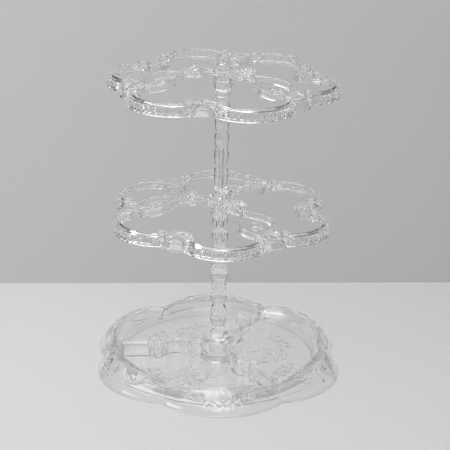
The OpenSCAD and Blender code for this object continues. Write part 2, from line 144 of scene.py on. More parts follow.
def sweep(path, wide, high, corners=3.0, sides=12, up=(0, 0, 1)):
    """A bar along a path: half its width and height may change, and corners sets how square it is."""
    path, side, up = framed(path, up)
    t = (np.arange(sides) + 0.5) * 2 * math.pi / sides
    c = np.sign(np.cos(t)) * np.abs(np.cos(t)) ** (2 / corners)
    s = np.sign(np.sin(t)) * np.abs(np.sin(t)) ** (2 / corners)
    wide = np.broadcast_to(np.asarray(wide, float), len(path))[:, None, None]
    high = np.broadcast_to(np.asarray(high, float), len(path))[:, None, None]
    across, upward = side[:, None] * c[None, :, None] * wide, up[:, None] * s[None, :, None] * high
    return loft(path[:, None] + across + upward)


def soft(section, share=0.22):
    """A closed outline with its corners cut."""
    p = np.asarray(section, float)
    q = np.roll(p, -1, 0)
    return np.stack([p * (1 - share) + q * share, p * share + q * (1 - share)], 1).reshape(-1, 2)


def bar(path, section):
    """A level bar along a path with one section of (side, height) points; side is to the right."""
    path, side, up = framed(path, (0, 0, 1))
    section = np.asarray(section, float)
    return loft(path[:, None] + side[:, None] * section[None, :, :1] + up[:, None] * section[None, :, 1:])


def pearl(centre, size, sides=11):
    """A ball, or an egg where size is three half axes."""
    size = np.broadcast_to(np.asarray(size, float), 3)
    t = np.radians(np.linspace(-82, 82, 7))
    points, quads, tris = revolve(np.stack([np.cos(t), np.sin(t)], -1), sides)
    return points * size + np.asarray(centre, float), quads, tris


def curve(points, n=24):
    """A smooth path through points."""
    p = np.asarray(points, float)
    if p.shape[1] == 2:
        p = np.hstack([p, np.zeros((len(p), 1))])
    q = np.vstack([2 * p[0] - p[1], p, 2 * p[-1] - p[-2]])
    out = []
    for t in np.linspace(0, len(p) - 1, n):
        i = min(int(t), len(p) - 2)
        f = t - i
        a, b, c, d = q[i:i + 4]
        bend, twist = 2 * a - 5 * b + 4 * c - d, 3 * b - a - 3 * c + d
        out.append(0.5 * (2 * b + (c - a) * f + bend * f ** 2 + twist * f ** 3))
    return np.array(out)


def arc(radius, start, end, z=0.0, centre=(0, 0), n=32):
    """Points along a level arc between two angles in degrees."""
    a = np.radians(np.linspace(start, end, n))
    x, y = centre[0] + radius * np.cos(a), centre[1] + radius * np.sin(a)
    return np.stack([x, y, np.full(n, float(z))], -1)


def spiral(centre, outer, inner, start, turns, z=0.0, n=40):
    """A volute that runs inward; turns below zero run clockwise."""
    t = np.linspace(0, 1, n)
    a = np.radians(start + 360 * turns * t)
    r = outer + (inner - outer) * t ** 0.8
    return np.stack([centre[0] + r * np.cos(a), centre[1] + r * np.sin(a), np.full(n, float(z))], -1)


def leaf(base, tip, wide, thick, bend=0.0, up=(0, 0, 1)):
    """An almond leaf from base to tip, arched by bend along up."""
    base, tip, up = (np.asarray(v, float) for v in (base, tip, up))
    t = np.linspace(0, 1, 12)[:, None]
    path = base + (tip - base) * t + up * bend * 4 * t * (1 - t)
    swell = np.sin(math.pi * (0.06 + 0.9 * t[:, 0] ** 0.85)) ** 0.8
    return sweep(path, wide * swell + 0.15, thick * (0.45 + 0.55 * swell), 2.2, 12, up)


def wedge(centre, start, end, section, n=48):
    """Sections of (radius, height) set side by side round an upright axis."""
    rings = []
    for a in np.linspace(start, end, n):
        s = np.asarray(section(a), float)
        c, si = math.cos(math.radians(a)), math.sin(math.radians(a))
        rings.append(np.stack([centre[0] + s[:, 0] * c, centre[1] + s[:, 0] * si, s[:, 1]], -1))
    return loft(rings)


def turned(shell, degrees=0.0, shift=(0, 0, 0)):
    """A shell that is shifted and then turned about Z."""
    points, quads, tris = shell
    a = math.radians(degrees)
    turn = np.array([[math.cos(a), math.sin(a), 0], [-math.sin(a), math.cos(a), 0], [0, 0, 1]])
    return (points + np.asarray(shift, float)) @ turn, quads, tris


# Shells to Blender objects

def new_object(name, shell):
    """A Blender object of a shell, with its faces outward."""
    points, quads, tris = shell
    corners = points[quads]
    volume = sum(np.einsum("ij,ij->i", f[:, 0], np.cross(f[:, 1], f[:, 2])).sum() for f in (
        corners[:, [0, 1, 2]], corners[:, [0, 2, 3]], points[tris]))
    if volume < 0:
        quads, tris = quads[:, ::-1], tris[:, ::-1]
    mesh = bpy.data.meshes.new(name)
    mesh.vertices.add(len(points))
    mesh.vertices.foreach_set("co", (points * MM).astype(np.float32).ravel())
    loops = np.concatenate([quads.ravel(), tris.ravel()]).astype(np.int32)
    starts = np.concatenate([np.arange(len(quads)) * 4, len(quads) * 4 + np.arange(len(tris)) * 3])
    mesh.loops.add(len(loops))
    mesh.loops.foreach_set("vertex_index", loops)
    mesh.polygons.add(len(starts))
    mesh.polygons.foreach_set("loop_start", starts.astype(np.int32))
    mesh.update(calc_edges=True)
    mesh.validate()
    obj = bpy.data.objects.new(name, mesh)
    bpy.context.scene.collection.objects.link(obj)
    return obj


def apply(obj):
    """Puts the result of the modifiers into the mesh."""
    graph = bpy.context.evaluated_depsgraph_get()
    made = bpy.data.meshes.new_from_object(obj.evaluated_get(graph))
    obj.modifiers.clear()
    old, obj.data = obj.data, made
    bpy.data.meshes.remove(old)
    return obj


def count_tris(obj):
    """How many triangles an object has."""
    return sum(len(p.vertices) - 2 for p in obj.data.polygons)


def fused(name, parts):
    """One closed object from shells or finished objects that overlap."""
    body, *rest = [part if isinstance(part, bpy.types.Object) else new_object(name, part) for part in parts]
    body.name = name
    others = bpy.data.collections.new(name)
    for other in rest:
        bpy.context.scene.collection.objects.unlink(other)
        others.objects.link(other)
    bpy.context.scene.collection.children.link(others)
    fuse = body.modifiers.new("fuse", "BOOLEAN")
    fuse.operation = "UNION"
    fuse.solver = "MANIFOLD"
    fuse.operand_type = "COLLECTION"
    fuse.collection = others
    apply(body)
    for other in rest:
        bpy.data.objects.remove(other)
    bpy.data.collections.remove(others)
    return body


def placed(obj, degrees, shift=(0, 0, 0)):
    """A copy of an object, turned about Z and then shifted, in millimetres."""
    mesh = obj.data.copy()
    mesh.transform(Matrix.Translation(Vector(shift) * MM) @ Matrix.Rotation(math.radians(degrees), 4, "Z"))
    copy = bpy.data.objects.new(obj.name, mesh)
    bpy.context.scene.collection.objects.link(copy)
    return copy


def thinned(obj, target, spared=None):
    """Fewer triangles; spared is a range of vertices that keep all of theirs."""
    total = count_tris(obj)
    if total > target:
        thin = obj.modifiers.new("thin", "DECIMATE")
        thin.ratio = target / total
        if spared:
            free = obj.vertex_groups.new(name="free")
            count = len(obj.data.vertices)
            free.add([v for v in range(count) if not spared[0] <= v < spared[1]], 1.0, "REPLACE")
            thin.vertex_group = "free"
        apply(obj)
    return obj


def finished(obj, material, node, sharp):
    """Gives an object its plastic and its place in the frame; edges over sharp degrees stay crisp."""
    obj.data.materials.clear()
    obj.data.materials.append(material)
    obj.data.shade_smooth()
    obj.data.set_sharp_from_angle(angle=math.radians(sharp))
    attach(obj, "root")
    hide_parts(node)
    print(obj.name, count_tris(obj), "triangles")
    return obj


# Clear plastic

RAMP_END = 130.0


def painted_shade_rings(nodes, links, place, shade_bands, foot):
    """Painted shade in the tray's tint: rings about its axis painted darker, at the crease round the floor's
    edge, up the fillet of the inner wall and along the thick rim, given as (radius in mm, tint) pairs. foot
    is the (height, radius, tint) of painted shade on the edge on the table, which lies below and outside
    those two sizes."""
    flat = nodes.new("ShaderNodeVectorMath")
    flat.operation = "MULTIPLY"
    flat.inputs[1].default_value = (1, 1, 0)
    radius = nodes.new("ShaderNodeVectorMath")
    radius.operation = "LENGTH"
    # Painted shade: the ramp darkens the tint in rings by radius about the axis
    reach = nodes.new("ShaderNodeMapRange")
    reach.inputs["From Max"].default_value = RAMP_END * MM
    ramp = nodes.new("ShaderNodeValToRGB")
    stops = ramp.color_ramp.elements
    while len(stops) < len(shade_bands):
        stops.new(0.5)
    for stop, (r, value) in zip(stops, shade_bands):
        stop.position = r / RAMP_END
        stop.color = (value, value, value, 1)
    links.new(place.outputs["Object"], flat.inputs[0])
    links.new(flat.outputs["Vector"], radius.inputs[0])
    links.new(radius.outputs["Value"], reach.inputs["Value"])
    links.new(reach.outputs["Result"], ramp.inputs["Fac"])
    parts = nodes.new("ShaderNodeSeparateXYZ")
    links.new(place.outputs["Object"], parts.inputs["Vector"])
    both = nodes.new("ShaderNodeMath")
    both.operation = "MULTIPLY"
    limits = (("LESS_THAN", parts.outputs["Z"], foot[0]), ("GREATER_THAN", radius.outputs["Value"], foot[1]))
    for slot, (operation, value, limit) in enumerate(limits):
        test = nodes.new("ShaderNodeMath")
        test.operation = operation
        test.inputs[1].default_value = limit * MM
        links.new(value, test.inputs[0])
        links.new(test.outputs["Value"], both.inputs[slot])
    # Painted shade on the foot's edge, where it stands on the table
    edge = nodes.new("ShaderNodeMixRGB")
    edge.inputs["Color2"].default_value = (foot[2], foot[2], foot[2], 1)
    links.new(both.outputs["Value"], edge.inputs["Fac"])
    links.new(ramp.outputs["Color"], edge.inputs["Color1"])
    return edge.outputs["Color"]


def clear_plastic(name, tint, roughness, ripple, shade, ior, coat=0.0, shade_bands=None, foot=None):
    """Clear moulded plastic: a slight ripple in the skin, a little haze, and shadows that stay light. For
    the tray it also takes painted shade: darker rings of tint about the axis and a darker foot edge.
    """
    mat = bpy.data.materials.new("clear_" + name)
    mat.use_nodes = True
    nodes, links = mat.node_tree.nodes, mat.node_tree.links
    body = nodes["Principled BSDF"]
    out = nodes["Material Output"]
    body.inputs["Base Color"].default_value = (tint, tint, tint, 1)
    body.inputs["Transmission Weight"].default_value = 1.0
    body.inputs["IOR"].default_value = ior
    body.inputs["Coat Weight"].default_value = coat
    place = nodes.new("ShaderNodeTexCoord")
    haze = nodes.new("ShaderNodeTexNoise")
    haze.inputs["Scale"].default_value = 55.0
    haze.inputs["Detail"].default_value = 4.0
    spread = nodes.new("ShaderNodeMapRange")
    spread.inputs["From Min"].default_value = 0.35
    spread.inputs["From Max"].default_value = 0.75
    spread.inputs["To Min"].default_value = roughness
    spread.inputs["To Max"].default_value = roughness * 2.5
    links.new(place.outputs["Object"], haze.inputs["Vector"])
    links.new(haze.outputs["Fac"], spread.inputs["Value"])
    links.new(spread.outputs["Result"], body.inputs["Roughness"])
    flow = nodes.new("ShaderNodeTexNoise")
    flow.inputs["Scale"].default_value = 90.0
    flow.inputs["Detail"].default_value = 2.0
    bump = nodes.new("ShaderNodeBump")
    bump.inputs["Strength"].default_value = ripple
    bump.inputs["Distance"].default_value = 0.0006
    links.new(place.outputs["Object"], flow.inputs["Vector"])
    links.new(flow.outputs["Fac"], bump.inputs["Height"])
    links.new(bump.outputs["Normal"], body.inputs["Normal"])
    # Painted shade rings and foot edge, for the tray only
    if shade_bands:
        links.new(painted_shade_rings(nodes, links, place, shade_bands, foot), body.inputs["Base Color"])
    path = nodes.new("ShaderNodeLightPath")
    through = nodes.new("ShaderNodeBsdfTransparent")
    through.inputs["Color"].default_value = (shade, shade, shade, 1)
    shader = body.outputs["BSDF"]
    for ray in ("Is Diffuse Ray", "Is Shadow Ray"):
        mix = nodes.new("ShaderNodeMixShader")
        links.new(path.outputs[ray], mix.inputs["Fac"])
        links.new(shader, mix.inputs[1])
        links.new(through.outputs["BSDF"], mix.inputs[2])
        shader = mix.outputs["Shader"]
    links.new(shader, out.inputs["Surface"])
    return mat


# Painted shade for the tray: tint darkened in rings by radius (floor-edge crease 0.70, inner-wall fillet
# 0.88 to 0.90, rim 0.88) and on the foot's edge on the table (0.84, the last tuple below)
TRAY_PAINTED_SHADE = (
    (91.0, 0.995), (91.6, 0.70), (93.0, 0.70), (93.4, 0.88), (96.2, 0.90), (96.8, 0.985), (98.8, 0.98),
    (99.6, 0.88), (102.0, 0.88), (103.2, 0.995))
TRAY_PLASTIC = clear_plastic(
    "tray_plastic", 0.995, 0.02, 0.1, 0.993, 1.56, 0.3, TRAY_PAINTED_SHADE, (1.3, 100.0, 0.84))
POST_PLASTIC = clear_plastic("post_plastic", 0.99, 0.015, 0.1, 0.965, 1.59)
TIER_PLASTIC = clear_plastic("tier_plastic", 0.99, 0.02, 0.12, 0.965, 1.49)


# Tray

def smooth_step(x):
    """Rises from 0 to 1 while x does, level at both ends."""
    x = np.clip(x, 0, 1)
    return x * x * (3 - 2 * x)


def mix(p, q, t):
    """The value a share t of the way from p to q."""
    return p + (q - p) * t


def ridge(u, v, path, wide, tall):
    """Height of a rounded ridge along a path over the points (u, v)."""
    path = np.asarray(path, float)[:, :2]
    best = np.full(u.shape, 1e9)
    for a, b in zip(path[:-1], path[1:]):
        d = b - a
        t = np.clip(((u - a[0]) * d[0] + (v - a[1]) * d[1]) / max(d @ d, 1e-9), 0, 1)
        best = np.minimum(best, np.hypot(u - a[0] - t * d[0], v - a[1] - t * d[1]))
    return tall * np.clip(1 - (best / wide) ** 2, 0, 1) ** 1.3


def dome(u, v, centre, size, tall, lean=0.0):
    """Height of an oval cushion: half axes size, turned by lean degrees."""
    c, s = math.cos(math.radians(lean)), math.sin(math.radians(lean))
    x, y = u - centre[0], v - centre[1]
    p, q = (x * c + y * s) / size[0], (y * c - x * s) / size[1]
    return tall * np.clip(1 - p * p - q * q, 0, 1)


def skirt_relief(u, v, length):
    """Raised flowers on one lobe of the skirt. u runs from its middle, v up from the foot, and length is
    how long the slope is there."""
    w = np.abs(u)
    border = length * 0.42
    top = length - 1.6
    rosette = 17.6
    h = 0.35 * smooth_step((v - border + 0.6) / 1.2) * (1 - smooth_step((v - top + 0.4) / 1.2))
    h = h + 0.5 * np.exp(-((v - border) / 0.75) ** 2)
    marks = [
        ridge(w, v, spiral((29.5, 21.3), 4.4, 0.6, -150, 1.6), 1.15, 0.95),
        ridge(w, v, spiral((20.2, 18.0), 4.5, 0.6, 30, -1.5), 1.15, 0.95),
        dome(w, v, (29.5, 21.3), (1.7, 1.7), 1.2),
        dome(w, v, (20.2, 18.0), (1.6, 1.6), 1.2),
        ridge(w, v, curve([(15.0, 15.4), (19, 13.6), (26, 14.2), (33, 17.4)]), 0.9, 0.7),
        ridge(w, v, curve([(34.5, 22.0), (39, 21.2), (46, 18.6), (54, 14.4)]), 0.95, 0.75),
        ridge(w, v, curve([(33.5, 18.4), (39, 18.4), (46, 16.4), (54, 13.0)]), 0.9, 0.7),
        ridge(w, v, curve([(33, 25.2), (39, 23.6), (47, 20.2), (54.5, 15.8)]), 0.9, 0.7),
        dome(w, v, (13.4, 12.0), (4.2, 1.9), 1.0, -50),
        dome(w, v, (7.2, 10.2), (4.0, 1.8), 1.0, -58),
        ridge(w, v, spiral((15.2, 14.2), 2.0, 0.3, 90, 1.0, 0, 16), 0.7, 0.7)]
    for a in (90, 40, 140, -12, 192, 238, 302):
        r = math.radians(a)
        marks.append(dome(u, v, (7.4 * math.cos(r), rosette + 5.0 * math.sin(r)), (5.0, 4.0), 1.15, a - 90))
    for a in (50, 130, 200, 270, 340):
        r = math.radians(a)
        marks.append(dome(u, v, (3.6 * math.cos(r), rosette + 2.7 * math.sin(r)), (3.3, 2.8), 1.6, a - 90))
    marks.append(dome(u, v, (0, rosette), (2.0, 1.8), 2.1))
    for m in marks:
        h = np.maximum(h, 0.35 * smooth_step(m / 0.25) + m)
    return h


def wave(start, end, swing, turns, n=14):
    """A wavy stroke from start to end."""
    start, end = np.asarray(start, float), np.asarray(end, float)
    t = np.linspace(0, 1, n)[:, None]
    d = end - start
    across = np.array([-d[1], d[0]]) / np.linalg.norm(d)
    return start + d * t + across * swing * np.sin(math.pi * turns * t)


def floor_relief(x, y):
    """Raised wavy strokes on one third of the floor: a peony between leaf sprays, along +X."""
    lines = []
    bloom = 56
    for r, k, turn in ((8.6, 7, 0.0), (5.2, 5, 0.4)):
        for i in range(k):
            a = turn + i * 2 * math.pi / k
            c = (bloom + r * math.cos(a), r * math.sin(a))
            lines.append(arc(r * 0.55, math.degrees(a) - 70, math.degrees(a) + 70, 0, c, 10)[:, :2])
            lines.append(wave((bloom + (r - 2) * math.cos(a), (r - 2) * math.sin(a)),
                              (bloom + (r + 2.4) * math.cos(a), (r + 2.4) * math.sin(a)), 0.5, 2, 6))
    for s in (-1, 1):
        stem = curve([(63, s * 13), (66, s * 22), (62, s * 33), (54, s * 42)])[:, :2]
        lines.append(stem)
        for k in (3, 8, 13, 18):
            p, q = stem[k], stem[k + 1]
            heading = math.atan2(q[1] - p[1], q[0] - p[0])
            for side, long in ((-1, 12.0), (1, 10.0)):
                for fan in (24, 44, 64):
                    a = heading + side * math.radians(fan)
                    tip = p + (long - fan * 0.06) * np.array([math.cos(a), math.sin(a)])
                    lines.append(wave(p + 2.2 * np.array([math.cos(a), math.sin(a)]), tip, 0.7, 2.4))
        for k in range(4):
            lines.append(wave((28 + 4 * k, s * (9 + 3.0 * k)), (37 + 4 * k, s * (7 + 2.2 * k)), 0.8, 2))
    h = np.zeros(x.shape)
    for line in lines:
        h = np.maximum(h, ridge(x, y, line, 0.95, 0.42))
    return h


def tray_shape(a):
    """Radius of the foot, radius and height of the rim, and radius and height of the ledge inside it."""
    phi = np.radians((np.degrees(a) % 60) - 30)
    lobe = FOOT_R - FOOT_OFFSET
    foot = FOOT_OFFSET * np.cos(phi) + np.sqrt(lobe ** 2 - (FOOT_OFFSET * np.sin(phi)) ** 2)
    swell = np.cos(3 * phi)
    rim = RIM_CUSP_R + (RIM_R - RIM_CUSP_R) * swell
    high = RIM_LOW + (RIM_HIGH - RIM_LOW) * swell
    return foot, rim, high, mix(FLOOR_R, rim - WALL, 0.42), FLOOR_TOP + 2.9 + 4.2 * np.abs(swell)


def under_rows(foot, rim, high, ledge_r, ledge_z):
    """Underside of the floor and inside of the skirt, to the edge that stands on the table."""
    under = FLOOR_TOP - FLOOR_T
    rows = [(r, under) for r in np.linspace(2, FLOOR_R - 1, 12)]
    rows += [
        (FLOOR_R + 2, under + 0.1),
        (mix(FLOOR_R + 2, ledge_r + 1.8, 0.5), mix(under + 0.1, ledge_z - 1.4, 0.42)),
        (ledge_r + 1.9, ledge_z - 1.4),
        (mix(ledge_r + 1.9, rim - 1.1, 0.5), mix(ledge_z - 1.4, high - 2.8, 0.5)),
        (rim - 1.4, high - 3.1), (rim - 0.9, high - 3.0)]
    for share_r, share_z, in_r, in_z in (
            (0.86, 0.875, 1.55, 1.75), (0.66, 0.69, 1.55, 1.75), (0.46, 0.52, 1.6, 1.7),
            (0.37, 0.44, 1.8, 1.45), (0.22, 0.27, 1.85, 1.45), (0.08, 0.12, 1.95, 1.3)):
        rows.append((mix(foot, rim, share_r) - in_r, mix(EDGE_Z, high, share_z) - in_z))
    return rows + [(foot - 2.5, 0.5), (foot - 2.0, 0.02), (foot - 1.2, 0.0), (foot - 0.3, 0.05), (foot, 0.5)]


def skirt_rows(a, foot, rim, high):
    """Outer face of the skirt with its relief, from the foot up: a steep plain band, then the panel."""
    off = (np.degrees(a) % 60) - 30
    shares = np.concatenate([np.linspace(0, 0.385, 9)[:-1], np.linspace(0.385, 1, SKIRT_ROWS - 8)])
    knots = [0, 0.06, 0.41, 0.46, 0.9, 1]
    reach = np.interp(shares, knots, [0, 0.04, 0.34, 0.385, 0.88, 0.96])
    rise = np.interp(shares, knots, [0, 0.07, 0.42, 0.465, 0.895, 0.985])
    slope_r, slope_z = foot - rim, high - EDGE_Z
    length = np.hypot(slope_r, slope_z)
    relief = skirt_relief(
        np.repeat((np.radians(off) * SKIRT_R)[None], SKIRT_ROWS, 0), rise[:, None] * length[None],
        np.repeat(length[None], SKIRT_ROWS, 0))
    fade = smooth_step((30 - np.abs(off)) / 1.5)
    relief *= fade * smooth_step(shares / 0.06)[:, None] * smooth_step((1 - shares) / 0.06)[:, None]
    rows = []
    for out, share_r, share_z in zip(relief * 0.75, reach, rise):
        rows.append((foot - slope_r * share_r + out * slope_z / length,
                     EDGE_Z + slope_z * share_z + out * slope_r / length))
    return rows


def inner_rows(rim, high, ledge_r, ledge_z):
    """Over the rim and down its inside, past the ledge, to the edge of the floor."""
    rows = []
    for t in np.radians((12, 34, 56, 78, 100, 122, 144, 166, 190)):
        rows.append((rim - 1.75 + 1.75 * math.cos(t), high - 1.35 + 1.5 * math.sin(t)))
    rows.append((rim - WALL - 0.9, high - 2.6))
    for t in (0.86, 0.7, 0.5, 0.3, 0.12):
        rows.append((mix(ledge_r, rim - WALL - 1.0, t), mix(ledge_z, high - 2.6, t)))
    rows += [(ledge_r + 0.3, ledge_z + 0.5), (ledge_r, ledge_z), (ledge_r - 0.9, ledge_z - 0.3)]
    for t in np.linspace(0.9, 0.12, 7):
        rows.append((mix(FLOOR_R + 0.9, ledge_r - 1.0, t), mix(FLOOR_TOP, ledge_z - 0.5, t ** 1.7)))
    return rows + [(FLOOR_R + 0.8, FLOOR_TOP - 0.45), (FLOOR_R + 0.2, FLOOR_TOP - 0.45)]


def floor_rows(a):
    """The floor with its relief."""
    radii = np.linspace(FLOOR_R - 0.6, BOSS_R + 1.6, FLOOR_ROWS)
    third = (a + math.pi / 3) % (2 * math.pi / 3) - math.pi / 3
    raised = floor_relief(radii[:, None] * np.cos(third)[None], radii[:, None] * np.sin(third)[None])
    return [(r, FLOOR_TOP + line) for r, line in zip(radii, raised)]


def boss_rows():
    """The boss, its shoulder and the socket."""
    wall = [(0.8, FLOOR_TOP + 0.2), (0.2, FLOOR_TOP + 0.8), (0, FLOOR_TOP + 2), (0, 12)]
    rows = [(BOSS_R + out, z) for out, z in wall]
    for out, drop in (
            (0, 5.0), (0.5, 4.6), (0.6, 3.8), (0.3, 3.0), (-0.4, 2.4), (-1.4, 2.0), (-2.6, 1.5), (-3.8, 0.7),
            (-4.6, 0.04)):
        rows.append((BOSS_R + out, BOSS_TOP - drop))
    return rows + [
        (SOCKET_R + 0.5, BOSS_TOP - 0.04), (SOCKET_R, BOSS_TOP - 0.5), (SOCKET_R, SOCKET_LOW),
        (1.0, SOCKET_LOW)]


def tray_rings():
    """Rings of the tray from the middle of its underside, round the foot and the rim, to the floor of the
    socket, and the number of the first ring of the skirt's outer face."""
    a = np.arange(COLUMNS) * 2 * math.pi / COLUMNS
    foot, rim, high, ledge_r, ledge_z = tray_shape(a)
    under = under_rows(foot, rim, high, ledge_r, ledge_z)
    rows = under + skirt_rows(a, foot, rim, high) + inner_rows(rim, high, ledge_r, ledge_z)
    rows += floor_rows(a) + boss_rows()
    rings = [np.stack([r * np.cos(a), r * np.sin(a), z + 0 * a], -1) for r, z in rows]
    return np.array(rings), len(under)


def divider():
    """One divider along +X: curl at the boss, bowed wall, scroll cluster and straight wall to the cusp."""
    low = FLOOR_TOP - 0.6
    tall = DIVIDER_TOP - low
    bow_r = ((BOW_LENGTH / 2) ** 2 + BOW_RISE ** 2) / (2 * BOW_RISE)
    bow_half = math.degrees(math.asin(BOW_LENGTH / 2 / bow_r))
    bow_centre = (BOW_START + BOW_LENGTH / 2, bow_r - BOW_RISE)
    end = BOW_START + BOW_LENGTH
    curl_centre = (BOW_START - 1.5, 1.6)

    def wall_section(thick):
        """Section of a wall with a fillet at its foot and a bead along its top."""
        half = thick / 2
        side = [
            (half + 0.5, 0), (half, 1.0), (half - 0.15, tall - 2.6), (half + 0.35, tall - 1.8), (0.3, tall)]
        return soft([(-half - 0.5, 0)] + side + [(-x, z) for x, z in side[:0:-1]])

    near = wall_section(DIVIDER_T)
    curl = soft([(-0.9, 0), (0.9, 0), (0.9, tall), (0, tall + 1), (-0.9, tall)])
    shells = [
        bar(np.linspace((BOSS_R - 1, 0, low), (BOW_START + 1, 0, low), 6), near),
        bar(arc(bow_r, 270 - bow_half, 270 + bow_half, low, bow_centre), near),
        bar(spiral(curl_centre, 3.6, 1.0, -80, 1.25, low, 34), curl),
        revolve([(1.7, low), (1.7, DIVIDER_TOP + 1.0), (0.9, DIVIDER_TOP + 1.6)], 16, (*curl_centre, 0)),
    ]
    for x, y, r, drop, way in (
            (end + 0.5, -1.0, 3.6, 1.5, 1), (end + 5.6, 2.2, 4.4, 0.0, -1), (end + 11.0, -0.8, 3.8, 2.0, 1)):
        h = CLUSTER_TOP - low - drop
        shells.append(bar(spiral((x, y), r, 1.2, 200, 1.2 * way, low, 34),
                          soft([(-0.95, 0), (0.95, 0), (0.95, h - 0.9), (0, h), (-0.95, h - 0.9)])))
        shells.append(revolve([(1.4, low), (1.4, low + h - 0.6), (1.0, low + h + 0.4)], 14, (x, y, 0)))
        for a in (20, 140, 260):
            c, s = math.cos(math.radians(a)), math.sin(math.radians(a))
            shells.append(leaf(
                (x + c * 2.0, y + s * 2.0, low + 3), (x + c * (r + 0.9), y + s * (r + 0.9), low + h - 4),
                1.9, 0.9, 0.9, (c, s, 0.3)))
            shells.append(pearl((x + c * (r + 0.5), y + s * (r + 0.5), low + h - 3.2), 1.3))
    under_cluster = [(end, 0, low), (end + 4, 0.2, low), (end + 8, 0.4, low), (end + 14, 0, low)]
    shells.append(bar(under_cluster, wall_section(DIVIDER_T - 0.3)))
    far = RIM_CUSP_R - WALL + 0.6
    x = np.linspace(end + 10, far - 3.4, 12)
    shells.append(bar(np.stack([x, 0 * x, 0 * x + low], -1), near))
    x = np.linspace(far - 5, far, 8)
    top = RIM_LOW + 0.4 + (far - x) * 0.85
    bottom = low + np.maximum(x - FLOOR_R - 1, 0) * 1.05
    shells.append(sweep(np.stack([x, 0 * x, (top + bottom) / 2], -1), DIVIDER_T / 2, (top - bottom) / 2, 6))
    knob = [
        (2.0, RIM_LOW - 3), (2.7, RIM_LOW), (2.7, DIVIDER_TOP - 0.6), (2.0, DIVIDER_TOP + 0.6),
        (1.0, DIVIDER_TOP + 1.2)]
    shells.append(revolve(knob, 20, (FLOOR_R + 2.6, 0, 0)))
    return shells


def make_tray():
    """The tray, whose carved skirt keeps all its points while the rest is thinned."""
    rings, first = tray_rings()
    spared = ((first + 6) * COLUMNS, (first + SKIRT_ROWS) * COLUMNS)
    body = thinned(new_object("tray_moulding", loft(rings)), TRAY_TRIANGLES, spared)
    wall = fused("divider", divider())
    tray = fused("tray_moulding", [body] + [placed(wall, a) for a in DIVIDER_ANGLES])
    bpy.data.objects.remove(wall)
    return finished(tray, TRAY_PLASTIC, "base_tray", 32)


# Posts

def bead_share(t, belly):
    """How far a bead stands out at a share t of its height; it is widest at belly."""
    return math.sin(math.pi / 2 * t / belly) if t < belly else 1 - ((t - belly) / (1 - belly)) ** 1.6


def bead(z, h, neck, wide, belly, n=16):
    """Outline of one turned bead of height h from z up."""
    return [(neck + (wide - neck) * bead_share(k / n, belly), z + h * k / n) for k in range(n)]


def foot_curve(z, foot, low, neck, reach):
    """Outline of a spreading foot above its rim, which is low high, up to its neck."""
    return [(neck + reach * (1 - k / 9) ** 2, z + low + (foot - low) * k / 9) for k in range(1, 9)]


def rounded(profile):
    """An open outline with its corners cut."""
    p = np.asarray(profile, float)
    cut = np.stack([p[:-1] * 0.8 + p[1:] * 0.2, p[:-1] * 0.2 + p[1:] * 0.8], 1).reshape(-1, 2)
    return np.vstack([p[:1], cut, p[-1:]])


def make_lower_post():
    """The post from the tray's socket to the middle tier, with a bore for the upper post's pin."""
    outline = [
        (0.4, BOSS_TOP - SPIGOT_DEPTH), (SPIGOT_R, BOSS_TOP - SPIGOT_DEPTH), (SPIGOT_R, BOSS_TOP - 0.3),
        (POST_FOOT_R - 0.3, BOSS_TOP + SEAT_GAP), (POST_FOOT_R, BOSS_TOP + 0.5),
        (POST_FOOT_R, BOSS_TOP + 1.2), (POST_FOOT_R - 0.7, BOSS_TOP + 1.6)]
    outline += foot_curve(BOSS_TOP, LOWER_FOOT_H, 1.6, 5.2, 4.8)
    z = BOSS_TOP + LOWER_FOOT_H
    for i, h in enumerate(LOWER_BEADS):
        neck = 5.0 if i == 0 else 5.6 if i > 3 else LOWER_NECK_R
        wide = LOWER_BEAD_R if i < 4 else 7.9 - (i - 4) * 0.5
        belly = 0.42 if i == 0 else 0.5 if i > 3 else 0.3
        outline += bead(z, h, neck, wide, belly)
        z += h
    outline += [
        (LOWER_NECK_R, z), (SHOULDER_R - 0.3, z + 0.35), (SHOULDER_R, z + 0.8),
        (SHOULDER_R, LOWER_SHOULDER - 0.3), (SHOULDER_R - 0.2, LOWER_SHOULDER - SEAT_GAP),
        (SPIGOT_R, LOWER_SHOULDER - SEAT_GAP),
        (SPIGOT_R, POST_TOP - 0.6), (SPIGOT_R - 0.4, POST_TOP), (PIN_BORE_R, POST_TOP),
        (PIN_BORE_R, PIN_LOW - 0.6), (0.4, PIN_LOW - 0.6)]
    post = new_object("lower_post_turning", revolve(rounded(outline), 64))
    return finished(post, POST_PLASTIC, "lower_post", 50)


